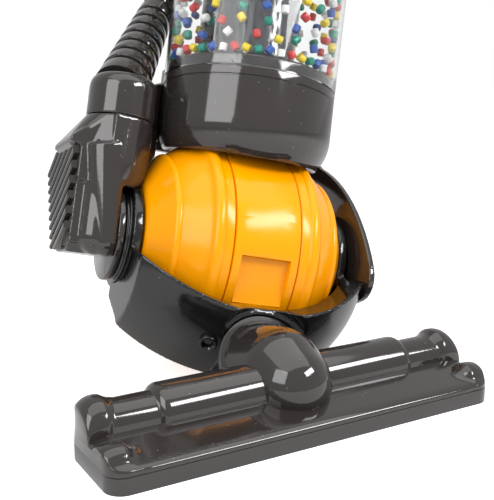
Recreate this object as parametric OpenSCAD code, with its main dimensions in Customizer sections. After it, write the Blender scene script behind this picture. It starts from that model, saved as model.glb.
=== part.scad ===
// Toy upright vacuum cleaner: floor head, neck yoke, rolling ball, clear bin with pellets, hose and wand.
// It stands as photographed, leaned to one side and reclined. Millimetres, +Z up, origin under the head.

/* [Pose] */
// Angle of the upright back from the vertical
recline = 10.8; // [0:0.1:16]
// Roll of the yoke about the neck axis
lean = 14.7; // [0:0.1:18]
// Rise of the neck axis, forwards and up
neck_rise = 34.6; // [30:0.1:40]

/* [Floor head] */
// Width of the floor head
head_w = 215; // [200:1:240]
// Depth of the floor head
head_d = 51.6; // [50:0.2:58]
// Height of the lower tray
tray_h = 8; // [7:0.1:9]
// Wall of the moulded shells
wall = 2.4; // [2:0.1:2.8]
// Radius of the tray's corners
tray_corner = 9; // [5:0.5:11]
// Height of the crease along the front edge
crease_h = 11.3; // [10.5:0.1:12]
// Height of the axis of the rolls above the sole
roll_z = 17.5; // [16:0.1:19]
// Place of the axis of the rolls behind the middle
roll_y = 11.2; // [9:0.1:11.4]
// Radius of the slim outer rolls
slim_r = 11; // [10:0.1:11.6]
// Radius of the full rolls beside the neck
full_r = 14; // [13:0.1:14.4]
// Half width at which the full rolls end
full_end = 73; // [60:1:85]
// Width of each end cap
cap_w = 11; // [8:0.5:14]
// Length of the suction slot in the sole
slot_w = 150; // [100:1:170]
// Depth of the suction slot in the sole
slot_d = 11; // [8:0.5:13]

/* [Neck] */
// Place of the neck flange behind the middle of the head
neck_y = 28.6; // [27:0.1:30]
// Height of the centre of the neck flange
neck_z = 22.8; // [22:0.1:24]
// Radius of the flange round the neck
flange_r = 26.8; // [26:0.1:28]
// Thickness of the flange
flange_t = 2.5; // [2:0.1:3]
// Radius of the egg shaped cowl in front of the flange
cowl_r = 24.4; // [23.5:0.1:25]
// Radius of the round nose of the cowl
cowl_nose = 22.5; // [21.5:0.1:23]
// Place of the cowl's nose behind the middle of the head
cowl_y = 16; // [14.5:0.1:17]
// Height of the cowl's nose
cowl_z = 23.5; // [23:0.1:24.5]
// Radius of the yoke's spigot in the neck
spigot_r = 12.5; // [11:0.1:13]
// Radial clearance of a running fit
run_fit = 0.06; // [0.03:0.01:0.1]

/* [Ball] */
// Place of the ball's centre behind the middle of the head
ball_y = 112.7; // [110:0.1:116]
// Height of the ball's centre with no lean
ball_z = 69.55; // [69.5:0.05:72]
// Radius of the sphere that the wheel skins follow
skin_r = 67; // [65:0.1:67.5]
// Radius over the crest of each inner bead
bead_r = 62.6; // [61.5:0.1:63]
// Distance of the inner beads from the middle
bead_x = 28; // [27:0.1:29]
// Half width of the fixed centre drum
drum_half = 19.2; // [18:0.1:19.4]
// Radius of the drum's edges
drum_r = 61.2; // [60:0.1:61.5]
// Gap between the drum and each wheel
wheel_gap = 0.8; // [0.6:0.1:1]
// Outer end of each wheel
wheel_end = 60; // [59.5:0.1:60.2]
// Radius of the steel axle
axle_r = 3; // [2.5:0.1:3.5]
// Width of the recess in the drum's front
recess_w = 29; // [24:0.5:30]
// Height of the recess in the drum's front
recess_h = 25; // [20:0.5:28]

/* [Yoke] */
// Radius of the outside of the yoke
yoke_r = 85; // [83:0.1:86]
// Radius of the hollow that the ball turns in
yoke_in = 70.6; // [70.3:0.1:71.5]
// Distance of the inner face of each arm from the middle
arm_in = 61; // [60.8:0.1:61.5]
// Thickness of each arm
arm_t = 5.4; // [4:0.1:6]
// Radius of the round end of each arm
arm_r = 31; // [29:0.1:32]
// Radius of the black cap on each arm
hub_r = 28; // [26:0.1:29]
// Thickness of the black cap on each arm
hub_t = 2.6; // [2:0.1:3]

/* [Bin] */
// Place of the bin's axis in front of the ball's centre
bin_fore = 8.9; // [7:0.1:10]
// Outer radius of the cup under the bin
cup_r = 51.2; // [50.5:0.1:52]
// Height of the cup's lower edge above the ball's centre
cup_low = 41; // [40:0.5:44]
// Height of the seam between cup and clear bin
seam_z = 96.6; // [95:0.1:99]
// Height of the clear bin
bin_h = 110; // [100:1:125]
// Growth of the clear bin's radius from bottom to top
bin_draft = 1.4; // [0.6:0.1:2]
// Wall of the clear bin
bin_wall = 1.8; // [1.5:0.1:2.2]
// Height of the floor band inside the clear bin
floor_h = 7.6; // [6:0.1:9]
// Radius of the centre tube in the bin
cyclone_r = 25; // [23:0.1:27]
// Radius of a pellet
pellet_r = 2.2; // [1.8:0.1:2.3]
// Length of a pellet
pellet_len = 4.4; // [3.6:0.1:4.5]
// Number of pellets round the edge of the floor
rim_pellets = 46; // [30:1:46]
// Number of pellets in each flying layer
layer_pellets = 22; // [8:1:23]

/* [Side housings] */
// Distance of the inner face of each cheek from the middle
cheek_in = 69.8; // [69.6:0.1:70.5]
// Thickness of each cheek
cheek_t = 3.8; // [3:0.1:4.5]
// Outer face of the vent housing, from the middle
vent_out = 98; // [95:0.5:102]
// Radius of the collar that the hose stands in
collar_r = 19; // [18.5:0.1:19.5]
// Number of slats in the vent
slats = 9; // [6:1:10]
// Radius of the fan behind the vent
fan_r = 16; // [12:0.5:16.5]
// Number of fan blades
blades = 7; // [5:1:9]

/* [Hose and wand] */
// Outer radius of the hose at the collar
hose_low_r = 15.5; // [14:0.1:16]
// Outer radius of the hose at the wand
hose_top_r = 10.8; // [10.4:0.1:12]
// Number of ribs on the hose
ribs = 7; // [5:1:10]
// Depth of the grooves between the ribs
groove = 2.4; // [1:0.1:2.6]
// Outer radius of the wand tube
wand_r = 9.5; // [8.5:0.1:10]
// Height of the top of the wand above the ball's centre
wand_top = 370; // [345:5:430]
// Radius of the bar of the handle loop
grip_r = 7; // [6:0.1:8]
// Height of the finger opening in the handle loop
loop_h = 58; // [50:1:75]

/* [Drawer and power] */
// Width of the debris drawer
drawer_w = 28; // [22:0.5:30]
// Height of the debris drawer
drawer_h = 25; // [18:0.5:26]
// Radius of a battery cell
cell_r = 7.2; // [6.8:0.1:7.3]
// Length of a battery cell
cell_len = 50.5; // [44:0.5:51]

/* [Hidden] */
$fn = 64;
// Small clearance between seated pieces of one body
seat = 0.15;
// Clearance between pieces that move past each other
free = 0.4;
// Overshoot of a cut beyond the face that it opens
eps = 1;

dark = "#4b4847";
black = "#232221";
yellow = "#f6b210";

neck_pt = [0, neck_y, neck_z];
ball_pt = [0, ball_y, ball_z];
// Turn that takes local +Z onto the neck axis
neck_turn = 90 - neck_rise;
head_half = head_w / 2;
head_back = head_d / 2;
cap_in = head_half - cap_w;
wheel_in = drum_half + wheel_gap;
arm_out = arm_in + arm_t;
cheek_out = cheek_in + cheek_t;
bin_y = -bin_fore;
floor_top = seam_z + floor_h;
bin_top = seam_z + bin_h;
tube_in = cup_r - bin_wall;
axle_half = cheek_out + 3;
ball_clear = 71;
bore_r = axle_r + run_fit;
fix_r = axle_r + 0.03;
cell_x = cell_r + 1;
cell_low = -33.5;
cell_high = cell_low + 2 * cell_r + 2;
drawer_low = 7;
drawer_front = 6;
vent_y = 14;
vent_z = 18;
housing_in = -cheek_out - seat;
roof_z = 63;
slot_top = 24.5;
collar_x = -75.6;
collar_y = -8;
collar_h = 25;
hose_from = [-76.5, -4, 82];
hose_to = [-49, 40, 144];
wand_end = [0, 84, wand_top];
wand_len = norm(wand_end - hose_to);
spine_front = 46;
spine_t = 10;
spine_half = 15;
spine_low = 114;
clamp_h = 16;
clamp_low = 286;
spine_top = clamp_low + clamp_h;
bridge_half = 36;
cap_h = 20;
button_r = 6.5;
button_fore = 33;
button_deep = 6;
tower_w = 30;
tower_d = 34;
spin_r = 2;
layers = 7;
pellet_gap = 0.25;
layer_pitch = 8;
pellet_low = floor_top + 11;
vent_rim = 3;
slat_turn = -32;
grip_sleeve = 12;
grip_neck = 22;
neck_out = 13;
loop_half = 23;
loop_straight = loop_h + 2 * grip_r - 2 * loop_half;
switch_w = 8;
switch_deep = 5;
switch_low = 4;
switch_room = 16;
switch_travel = 5;
motor_low = 81;
rotor_z = floor_top + 0.8;
// Depth of the cowl's bearing for the spigot
socket = 3.4;

// Points of an arc in the plane
function arc(c, r, a, b, n) = [for (i = [0:n]) c + r * [cos(a + (b - a) * i / n), sin(a + (b - a) * i / n)]];

// Lays children, modelled about local Z, along the neck axis
module at_neck() {
  translate(neck_pt) rotate([neck_turn, 0, 0]) children();
}

// Rolls children, modelled upright in the head's frame, about the neck axis
module rolled() {
  at_neck() rotate([0, 0, -lean]) rotate([-neck_turn, 0, 0]) translate(-neck_pt) children();
}

// Frame of the yoke: origin at the ball's centre
module at_yoke() {
  rolled() translate(ball_pt) children();
}

// Frame of the upright: origin at the ball's centre, Z along the bin
module at_upright() {
  at_yoke() rotate([-recline, 0, 0]) children();
}

// Turns children, modelled about Z, onto the X axis
module along_x() {
  rotate([0, 90, 0]) children();
}

// Extrudes an outline of the YZ plane between two places on X
module slab_x(from, to) {
  translate([from, 0, 0]) rotate([90, 0, 90]) linear_extrude(to - from) children();
}

// Lays children, modelled about Z, from one point towards another
module along(p, q) {
  d = q - p;
  translate(p) rotate([0, acos(d[2] / norm(d)), atan2(d[1], d[0])]) children();
}

// Bar along X from a to b, its edges rounded
module round_bar(a, b, r, edge) {
  along_x() rotate_extrude() polygon(concat([[0, a]], arc([r - edge, a + edge], edge, -90, 0, 4),
    arc([r - edge, b - edge], edge, 0, 90, 4), [[0, b]]));
}

// Rectangle with round corners
module rounded_plan(w, d, r) {
  square([w - 2 * r, d], center = true);
  square([w, d - 2 * r], center = true);
  for (x = [-1, 1], y = [-1, 1]) translate([x * (w / 2 - r), y * (d / 2 - r)]) circle(r);
}

// Room for the flange and for the yoke's neck behind it
module neck_room() {
  at_neck() translate([0, 0, -60]) cylinder(h = 60 + flange_t / 2 + free, r = flange_r + free);
}

// Solid of the cowl from the flange to its round nose, grown by a clearance
module cowl_solid(grow) {
  hull() {
    at_neck() cylinder(h = flange_t / 2, r = cowl_r + grow, $fn = 48);
    translate([0, cowl_y, cowl_z]) sphere(cowl_nose + grow, $fn = 48);
  }
}

module head_base() {
  color(dark) difference() {
    linear_extrude(tray_h) rounded_plan(head_w, head_d, tray_corner);
    translate([0, 0, wall]) linear_extrude(tray_h)
      rounded_plan(head_w - 2 * wall, head_d - 2 * wall, tray_corner - wall);
    translate([-slot_w / 2, 4 - head_back, -eps]) cube([slot_w, slot_d, wall + 2 * eps]);
    neck_room();
  }
}

// Outline of the front shelf and the slim rolls
module shelf_2d() {
  foot = roll_y - slim_r;
  polygon(concat(
    [[-head_back, tray_h], [-head_back, crease_h - 1]],
    arc([-head_back + 1.4, crease_h - 1], 1.4, 180, 90, 3),
    [[-head_back * 0.55, crease_h + 1.9], [foot - 1, roll_z - 0.8], [roll_y, roll_z]],
    [[roll_y + slim_r, roll_z], [head_back, tray_h]]));
  translate([roll_y, roll_z]) circle(slim_r);
}

// Hollow under the front shelf and the rolls
module shelf_hollow_2d() {
  polygon([[wall - head_back, tray_h - eps], [wall - head_back, crease_h - wall / 2], [0, roll_z - wall],
    [roll_y + slim_r - wall, roll_z - wall], [head_back - wall, tray_h - eps]]);
  translate([roll_y, roll_z]) circle(slim_r - wall);
}

// End cap with its tall rear hump and lower front hump
module end_cap(from, to) {
  rear_r = full_r - 1;
  fore_r = 9;
  edge = 3;
  translate([0, head_back - rear_r - 0.8, roll_z + 3]) round_bar(from, to, rear_r, edge);
  translate([0, fore_r - head_back + 4.5, tray_h + 5]) round_bar(from, to, fore_r, edge);
  slab_x(from + edge / 2, to - edge / 2) polygon([[-head_back, tray_h], [1 - head_back, crease_h],
    [6 - head_back, tray_h + 10], [2, roll_z + 6], [head_back - 2, roll_z + 4], [head_back, tray_h]]);
}

module head_shell() {
  color(dark) difference() {
    union() {
      slab_x(-cap_in - 1, cap_in + 1) shelf_2d();
      for (m = [0, 1]) mirror([m, 0, 0]) {
        translate([0, roll_y, roll_z]) round_bar(10, full_end, full_r, 5);
        end_cap(cap_in, head_half);
      }
      translate([0, 0, tray_h]) linear_extrude(2.2) rounded_plan(head_w, head_d, tray_corner);
    }
    slab_x(-cap_in + wall, cap_in - wall) shelf_hollow_2d();
    translate([0, 0, tray_h + seat - head_d]) linear_extrude(head_d) square(2 * head_w, center = true);
    neck_room();
    cowl_solid(seat);
  }
}

module neck_cowl() {
  color(dark) difference() {
    union() {
      cowl_solid(0);
      at_neck() cylinder(h = flange_t, r = flange_r, center = true);
    }
    difference() {
      cowl_solid(-wall);
      at_neck() cylinder(h = 2 * socket, r = 2 * flange_r, center = true);
    }
    at_neck() translate([0, 0, -flange_t]) cylinder(h = 2 * socket + flange_t, r = spigot_r + run_fit);
    at_neck() translate([0, 0, -head_d - flange_t / 2]) cylinder(h = head_d, r = head_d);
    translate([0, 0, -head_d]) linear_extrude(head_d + tray_h / 2) square(2 * head_d, center = true);
  }
}

module neck_retainer() {
  grip_lip = 2.7;
  color(black) rolled() at_neck() translate([0, 0, socket + free + seat])
    cylinder(h = 2.2, r = spigot_r + grip_lip);
}

// Front view of the yoke: the upper rim dips in the middle
module rim_2d() {
  low = -90;
  dip = -20.5;
  rise = 18.5;
  steps = 8;
  rim = [for (i = [-steps:steps]) [arm_out * i / steps, dip + rise * pow(abs(i) / steps, 2.2)]];
  polygon(concat([[-arm_out, low]], rim, [[arm_out, low]]));
}

// Side view of the cradle: the lower edge slopes forwards and down
module cradle_2d() {
  polygon([[2, 0], [2, -36], [-19, -43], [-40, -54.5], [-95, -84], [-95, 0]]);
}

// Room in the yoke for the flange and for the sweep of the cowl in front of it
module cowl_room() {
  sweep_r = 30;
  translate([0, 0, -flange_t / 2 - free]) cylinder(h = 3 * flange_t, r = flange_r + free);
  translate([0, 0, flange_t]) cylinder(h = yoke_r, r = sweep_r);
}

module yoke() {
  neck_r = 20;
  neck_len = 26;
  floor_gap = 6;
  color(dark) {
    difference() {
      union() {
        at_yoke() intersection() {
          sphere(yoke_r);
          rotate([90, 0, 0]) linear_extrude(yoke_r) rim_2d();
          slab_x(-arm_out, arm_out) cradle_2d();
        }
        at_yoke() slab_x(-arm_out, -arm_in) circle(arm_r);
        at_yoke() slab_x(arm_in, arm_out) circle(arm_r);
        rolled() at_neck() translate([0, 0, -neck_len]) cylinder(h = neck_len, r = neck_r);
      }
      at_yoke() intersection() {
        sphere(yoke_in);
        cube([2 * arm_in, 4 * yoke_r, 4 * yoke_r], center = true);
      }
      at_yoke() along_x() cylinder(h = 4 * arm_out, r = bore_r, center = true);
      rolled() translate([0, 0, floor_gap - yoke_r]) linear_extrude(yoke_r) square(4 * yoke_r, center = true);
      rolled() at_neck() cowl_room();
    }
    rolled() at_neck() translate([0, 0, -2 * flange_t])
      cylinder(h = 2 * flange_t + socket + free, r = spigot_r);
  }
}

// Black cap on the outside of an arm, on the left when mirrored
module hub_cap(m) {
  step = 2;
  color(black) at_yoke() mirror([m, 0, 0]) along_x() translate([0, 0, arm_out]) rotate_extrude()
    polygon([[bore_r, 0], [hub_r, 0], [hub_r, hub_t / 2], [hub_r - step, hub_t / 2],
      [hub_r - step, hub_t], [bore_r, hub_t]]);
}

// Half section of a wheel: two beads on a round skin, a cone at the end and a hub tube
function wheel_side() = let (bead = 7, rib = 5, mid = 47, hub = 7, rim = drum_r - 0.6,
    inner = skin_r - wall - 0.4, face = wheel_end - 0.2, back = wheel_end - 3, boss = arm_in - free)
  concat(
    [[rim, wheel_in]],
    arc([bead_r - bead, bead_x], bead, -50, 68, 8),
    [for (x = [36, 40, 44]) [sqrt(skin_r * skin_r - x * x), x]],
    arc([sqrt(pow(skin_r - 2.5, 2) - mid * mid), mid], rib, -6, 96, 6),
    [[33.5, face - 0.6], [31.5, face], [12, face], [11, boss], [bore_r, boss]],
    [[bore_r, wheel_in + 1], [hub, wheel_in + 1], [hub, back], [31, back]],
    [for (x = [52, 46, 38, 32]) [sqrt(inner * inner - x * x), x]],
    [[rim - wall, wheel_in]]);

// One wheel, the left one when mirrored
module wheel(m) {
  color(yellow) at_upright() mirror([m, 0, 0]) along_x() rotate_extrude() polygon(wheel_side());
}

module axle() {
  color("silver") at_upright() along_x() cylinder(h = 2 * axle_half, r = axle_r, center = true);
}

// Space of the drawer, grown by a clearance and open to the back
module drawer_room(grow) {
  translate([-drawer_w / 2 - grow, drawer_front - grow, drawer_low - grow])
    cube([drawer_w + 2 * grow, drum_r, drawer_h + 2 * grow]);
}

// Opening of the battery door in the drum's lower back, grown by a clearance
module door_room(grow) {
  half = drum_half - wall + grow;
  translate([-half, 20, cell_low - cell_r - 1 - grow]) cube([2 * half, drum_r, 4 * cell_r + 4 + 2 * grow]);
}

// Recess in the drum's front, deep at the top and running out below
module recess_2d() {
  top = -6;
  low = top - recess_h;
  polygon([[-drum_r + 4.2, top], [-2 * drum_r, top], [-2 * drum_r, low],
    [-sqrt(drum_r * drum_r - low * low), low]]);
}

// Wall behind the recess
module recess_back_2d() {
  top = -2;
  low = top - recess_h - 7;
  polygon([[-drum_r + 7.5, top], [-2 * drum_r, top], [-2 * drum_r, low], [-drum_r + 13.5, low]]);
}

module drum() {
  inside = drum_r - wall;
  crown = 0.7;
  web = 2;
  shelf = 2;
  color(yellow) at_upright() difference() {
    union() {
      difference() {
        along_x() rotate_extrude()
          polygon([[0, -drum_half], [drum_r, -drum_half], [drum_r + crown, 0], [drum_r, drum_half],
            [0, drum_half]]);
        along_x() cylinder(h = 2 * (drum_half - web), r = inside, center = true);
      }
      translate([-drum_half + web / 2, drawer_front - 3, drawer_low - free - shelf])
        cube([2 * drum_half - web, 48, shelf]);
      intersection() {
        along_x() cylinder(h = recess_w + 2 * web, r = drum_r - web / 2, center = true);
        slab_x(-drum_half, drum_half) recess_back_2d();
      }
      translate([-tower_w / 2, -tower_d / 2, inside - 2]) cube([tower_w, tower_d, motor_low - inside + 2]);
    }
    translate([wall - tower_w / 2, wall - tower_d / 2, inside - 4])
      cube([tower_w - 2 * wall, tower_d - 2 * wall, motor_low - inside + 4 - wall]);
    along_x() cylinder(h = 4 * drum_half, r = fix_r, center = true);
    drawer_room(free);
    door_room(seat);
    slab_x(-recess_w / 2, recess_w / 2) recess_2d();
  }
}

module debris_drawer() {
  skin = 1.6;
  pocket = 45 - drawer_front - 2 * skin;
  color(yellow) at_upright() intersection() {
    difference() {
      drawer_room(0);
      translate([skin - drawer_w / 2, drawer_front + skin, drawer_low + skin])
        cube([drawer_w - 2 * skin, pocket, drawer_h]);
    }
    along_x() cylinder(h = 4 * drum_half, r = drum_r, center = true);
  }
}

module battery_door() {
  color(yellow) at_upright() intersection() {
    door_room(0);
    along_x() difference() {
      cylinder(h = 4 * drum_half, r = drum_r, center = true);
      cylinder(h = 5 * drum_half, r = drum_r - wall, center = true);
    }
  }
}

// Lays a cell sized bore along Y
module cell_shape(side, z, h, r) {
  translate([side * cell_x, -cell_len / 2, z]) rotate([-90, 0, 0]) cylinder(h = h, r = r);
}

module battery_tray() {
  half = drum_half - 2 - seat;
  stop = 2;
  color(black) at_upright() difference() {
    translate([-half, -cell_len / 2 - stop, cell_low - cell_r - 1])
      cube([2 * half, cell_len + 2 * stop, 4 * cell_r + 4]);
    for (side = [-1, 1], z = [cell_low, cell_high]) cell_shape(side, z, 2 * cell_len, cell_r + seat);
  }
}

module battery_cell(side, z) {
  color("darkgoldenrod") at_upright() cell_shape(side, z, cell_len, cell_r);
}

// Side view of a cheek's arm, running up and back from the axle
module cheek_arm_2d() {
  circle(arm_r - 4);
  polygon([[0, -27], [27, 0], [64, 62], [64, 92], [46, 92], [44, 76], [-2, 27]]);
}

// Side view of the right cheek: a bowed front edge runs down to a round nose
module cheek_2d() {
  nose = 13.5;
  bow = 137;
  polygon(concat(
    arc([70.4, -64.8], bow, 153, 110, 12),
    [[44, 76], [46, 92], [64, 92], [64, 62], [27, 0]],
    arc([0, 0], 27, 0, -90, 6),
    [[-22, -28]],
    arc([-39.5, -9], nose, 250, 150, 6)));
}

module chassis() {
  boss = 8;
  bridge_low = 60;
  bridge_mid = 80;
  bridge_top = 92;
  color(dark) at_upright() difference() {
    union() {
      slab_x(cheek_in, cheek_out) cheek_2d();
      slab_x(-cheek_out, -cheek_in) cheek_arm_2d();
      slab_x(cheek_out - eps, axle_half - free) circle(boss);
      slab_x(free - axle_half, eps - cheek_out) circle(boss);
      difference() {
        translate([-cheek_out, spine_front, bridge_low]) cube([2 * cheek_out, 16, bridge_top - bridge_low]);
        along_x() cylinder(h = 4 * cheek_out, r = ball_clear, center = true);
        translate([-cheek_in, spine_front + 7, bridge_low])
          cube([2 * cheek_in, 16, bridge_top - bridge_low - wall]);
      }
      translate([-bridge_half, spine_front, bridge_mid]) cube([2 * bridge_half, 10, spine_low - bridge_mid]);
    }
    along_x() cylinder(h = 4 * cheek_out, r = fix_r, center = true);
    translate([0, bin_y, 0]) cylinder(h = seam_z, r = cup_r + seat);
    translate([0, bin_y, seam_z - eps]) cylinder(h = bin_h, r = cup_r + bin_draft + seat);
  }
}

// Round room over the ball, about the axle
module ball_room(r) {
  along_x() rotate_extrude() polygon(concat([[0, -r]], arc([0, 0], r, -80, 80, 16), [[0, r]]));
}

// Thin walled cup over the ball, with a hole for the tower
module cup() {
  edge = 12;
  color(dark) at_upright() difference() {
    translate([0, bin_y, 0]) rotate_extrude() polygon(concat([[0, cup_low]],
      arc([cup_r - edge, cup_low + edge], edge, -90, 0, 5), [[cup_r, seam_z], [0, seam_z]]));
    difference() {
      translate([0, bin_y, 0]) cylinder(h = 2 * seam_z, r = cup_r - wall);
      ball_room(ball_clear + wall);
    }
    ball_room(ball_clear);
    translate([-tower_w / 2 - seat, -tower_d / 2 - seat, 0])
      cube([tower_w + 2 * seat, tower_d + 2 * seat, 2 * seam_z]);
  }
}

module bin_floor() {
  lip = tube_in - seat;
  edge = 2;
  color(dark) at_upright() translate([0, bin_y, 0]) difference() {
    rotate_extrude() polygon(concat([[0, seam_z + seat], [lip, seam_z + seat]],
      arc([lip - edge, floor_top - edge], edge, 0, 90, 4), [[0, floor_top]]));
    translate([0, 0, seam_z - eps]) cylinder(h = floor_h - wall + eps, r = lip - wall);
    translate([0, 0, seam_z]) cylinder(h = 2 * floor_h, r = spin_r + run_fit);
  }
}

module bin_tube() {
  color("#e8f0f0", 0.35) at_upright() translate([0, bin_y, 0]) rotate_extrude()
    polygon([[tube_in, seam_z + seat], [cup_r, seam_z + seat], [cup_r + bin_draft, bin_top],
      [tube_in + bin_draft, bin_top]]);
}

module cyclone() {
  skin = 1.6;
  skirt = 3;
  foot = floor_top + 3;
  color("#55555c") at_upright() translate([0, bin_y, 0]) rotate_extrude()
    polygon([[cyclone_r - skin, foot], [cyclone_r + skirt, foot], [cyclone_r + skirt, foot + 2],
      [cyclone_r, foot + 5], [cyclone_r, bin_top], [cyclone_r - skin, bin_top]]);
}

module bin_cap() {
  r = cup_r + bin_draft;
  edge = 12;
  base = bin_top + seat;
  top = bin_top + cap_h;
  fillet = [r - edge, top - edge];
  well = button_r + free;
  color(dark) at_upright() translate([0, bin_y, 0]) difference() {
    union() {
      rotate_extrude() polygon(concat([[r - wall, base], [r, base]], arc(fillet, edge, 0, 90, 6),
        [[0, top], [0, top - wall]], arc(fillet, edge - wall, 90, 0, 6)));
      translate([0, 0, base]) linear_extrude(top - base - wall / 2) difference() {
        circle(cyclone_r);
        circle(cyclone_r - wall);
      }
      translate([0, -button_fore, top - button_deep - wall]) cylinder(h = button_deep, r = well + wall);
    }
    translate([0, -button_fore, top - button_deep]) cylinder(h = cap_h, r = well);
  }
}

module release_button() {
  proud = 1.6;
  travel = 2.4;
  color(black) at_upright() translate([0, bin_y - button_fore, bin_top + cap_h - button_deep + travel])
    cylinder(h = button_deep - travel + proud, r = button_r);
}

// Half ring to carry the bin by
module carry_handle() {
  out = 31;
  in = 23;
  half = 9;
  base = bin_top + cap_h + seat;
  color(dark) at_upright() translate([0, bin_y + 7, 0]) slab_x(-half, half) difference() {
    translate([0, base]) circle(out);
    translate([0, base]) circle(in);
    translate([-2 * out, base - 2 * out]) square([4 * out, 2 * out]);
  }
}

// Channel that stands behind the bin, open to the back, with a solid head for the clamp
module spine() {
  height = spine_top - spine_low - seat;
  color(dark) at_upright() translate([-spine_half, spine_front, spine_low + seat]) difference() {
    cube([2 * spine_half, spine_t, height]);
    translate([wall, wall, wall]) cube([2 * (spine_half - wall), spine_t, height - 2 * clamp_h]);
  }
}

// Front view of the housing's roof, with the hood that overhangs the vent
module roof_2d() {
  polygon([[collar_x, slot_top], [collar_x, roof_z], [-80, roof_z - 1], [-89, roof_z - 4], [-97, roof_z - 9],
    [-104, roof_z - 15], [-104, roof_z - 18], [-vent_out, roof_z - 19], [-vent_out, slot_top]]);
}

// Plan of the web that reaches from the housing to the cup
module web_2d() {
  polygon([[-83, -28], [-76, -27.5], [-68, -22.5], [-63, -15], [-52, -3], [-49, 0], [-49, 14], [-83, 14]]);
}

// Side view of the vent box, grown by a clearance: its back edge slants
module vent_2d(grow) {
  fore = -18 - grow;
  low = -14 - grow;
  top = 46 + grow;
  back = 57 + grow;
  polygon([[fore, low + 5], [fore + 5, low], [14 + grow, low], [back, 41], [back, top], [fore, top]]);
}

module vent_housing() {
  bulge_low = [-78, -19, -6];
  bulge_top = [-83, -17, 46];
  low_r = 8.5;
  top_r = 12;
  flare = 32;
  duct_r = 10;
  color(dark) at_upright() difference() {
    union() {
      along(bulge_low, bulge_top) cylinder(h = norm(bulge_top - bulge_low), r1 = low_r, r2 = top_r);
      translate(bulge_low) sphere(low_r);
      translate([collar_x, collar_y, slot_top]) cylinder(h = flare, r1 = collar_r - 13, r2 = collar_r);
      translate([collar_x, collar_y, slot_top + flare]) cylinder(h = roof_z - slot_top - flare, r = collar_r);
      translate([0, 24, 0]) rotate([90, 0, 0]) linear_extrude(44) roof_2d();
      translate([0, 0, slot_top]) linear_extrude(roof_z - slot_top) web_2d();
      slab_x(-vent_out, housing_in) vent_2d(0);
    }
    slab_x(-2 * vent_out, housing_in - wall) vent_2d(-vent_rim);
    translate([collar_x, collar_y, 30]) cylinder(h = roof_z, r = duct_r);
    translate([housing_in, -100, slot_top - 200]) cube([100, 200, 200]);
    translate([housing_in, -3, -100]) cube([cheek_t + 2 * seat, 200, 200]);
    along_x() cylinder(h = 2 * (cheek_out + seat), r = arm_r + free, center = true);
    sphere(ball_clear - 1.4);
    translate([0, bin_y, 0]) cylinder(h = bin_h, r = cup_r + seat);
    along_x() cylinder(h = 4 * vent_out, r = 9, center = true);
  }
}

// Front view of the grille: a frame with slanted gaps between its slats
module grille_2d() {
  rim = 3;
  pitch = 7;
  difference() {
    vent_2d(-vent_rim - seat);
    intersection() {
      vent_2d(-vent_rim - rim);
      translate([vent_y, vent_z]) rotate(slat_turn) for (i = [0:slats - 1])
        translate([0, (i - slats / 2 + 0.5) * pitch]) square([4 * vent_out, pitch / 2], center = true);
    }
  }
}

module vent_grille() {
  thick = 3;
  color(dark) at_upright() slab_x(-vent_out, thick - vent_out) grille_2d();
}

module fan() {
  hub = 5;
  depth = 6;
  skin = 1.2;
  color("white") at_upright() translate([5 - vent_out, vent_y, vent_z]) along_x() {
    cylinder(h = depth + 1, r = hub);
    for (i = [0:blades - 1]) rotate([0, 0, i * 360 / blades]) translate([hub - 1, -skin / 2, 0.5])
      rotate([18, 0, 0]) cube([fan_r - hub + 0.5, skin, depth]);
    translate([0, 0, depth]) cylinder(h = 8, r = 1.5);
  }
}

module fan_motor() {
  front = vent_out - 13;
  color("silver") at_upright() translate([-front, vent_y, vent_z]) along_x() difference() {
    cylinder(h = front + housing_in - wall - seat, r = 10);
    translate([0, 0, -eps]) cylinder(h = 8, r = 1.5 + run_fit);
  }
}

module hose_collar() {
  low = roof_z + seat;
  edge = 8;
  color(dark) at_upright() difference() {
    translate([collar_x, collar_y, low]) rotate_extrude() polygon(concat([[0, 0], [collar_r, 0]],
      arc([collar_r - edge, collar_h - edge], edge, 0, 90, 5), [[0, collar_h]]));
    translate([collar_x, collar_y, low - eps]) cylinder(h = collar_h / 2, r = collar_r - 2 * wall);
    along(hose_from, hose_to) translate([0, 0, -seat]) cylinder(h = 2 * collar_h, r = hose_low_r + seat);
  }
}

// Half section of the hose: round ribs with narrow grooves between them, and the bore
function hose_side(length) = let (skin = 4, gap = 2, pitch = length / (ribs + 1),
    fall = (hose_top_r - hose_low_r) / length)
  concat([[hose_low_r - skin, 0], [hose_low_r, 0]],
    [for (i = [1:ribs], p = [[0, 0], [0.5, -groove], [gap - 0.5, -groove], [gap, 0]])
      [hose_low_r + fall * i * pitch + p[1], i * pitch + p[0]]],
    [[hose_top_r, length], [hose_top_r - skin, length]]);

module hose() {
  color(dark) at_upright() along(hose_from, hose_to) rotate_extrude()
    polygon(hose_side(norm(hose_to - hose_from)));
}

// Frame of the wand: Z runs up along it from the end of the hose
module at_wand() {
  d = wand_end - hose_to;
  along(hose_to, wand_end) rotate([0, 0, -atan2(d[1], d[0])]) children();
}

module wand() {
  color(dark) at_upright() difference() {
    at_wand() translate([0, 0, -hose_low_r]) linear_extrude(wand_len + hose_low_r) difference() {
      circle(wand_r);
      circle(wand_r - 1.8);
    }
    along(hose_from, hose_to) cylinder(h = norm(hose_to - hose_from) + seat, r = 2 * hose_low_r);
  }
}

// Block on the back of the spine with a bore for the slanted wand
module wand_clamp() {
  side = 5;
  back = spine_front + spine_t + seat;
  color(black) at_upright() difference() {
    translate([side - 2 * spine_half, back, clamp_low]) cube([2 * spine_half, 2 * clamp_h, clamp_h]);
    at_wand() cylinder(h = wand_len, r = wand_r + seat);
  }
}

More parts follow.
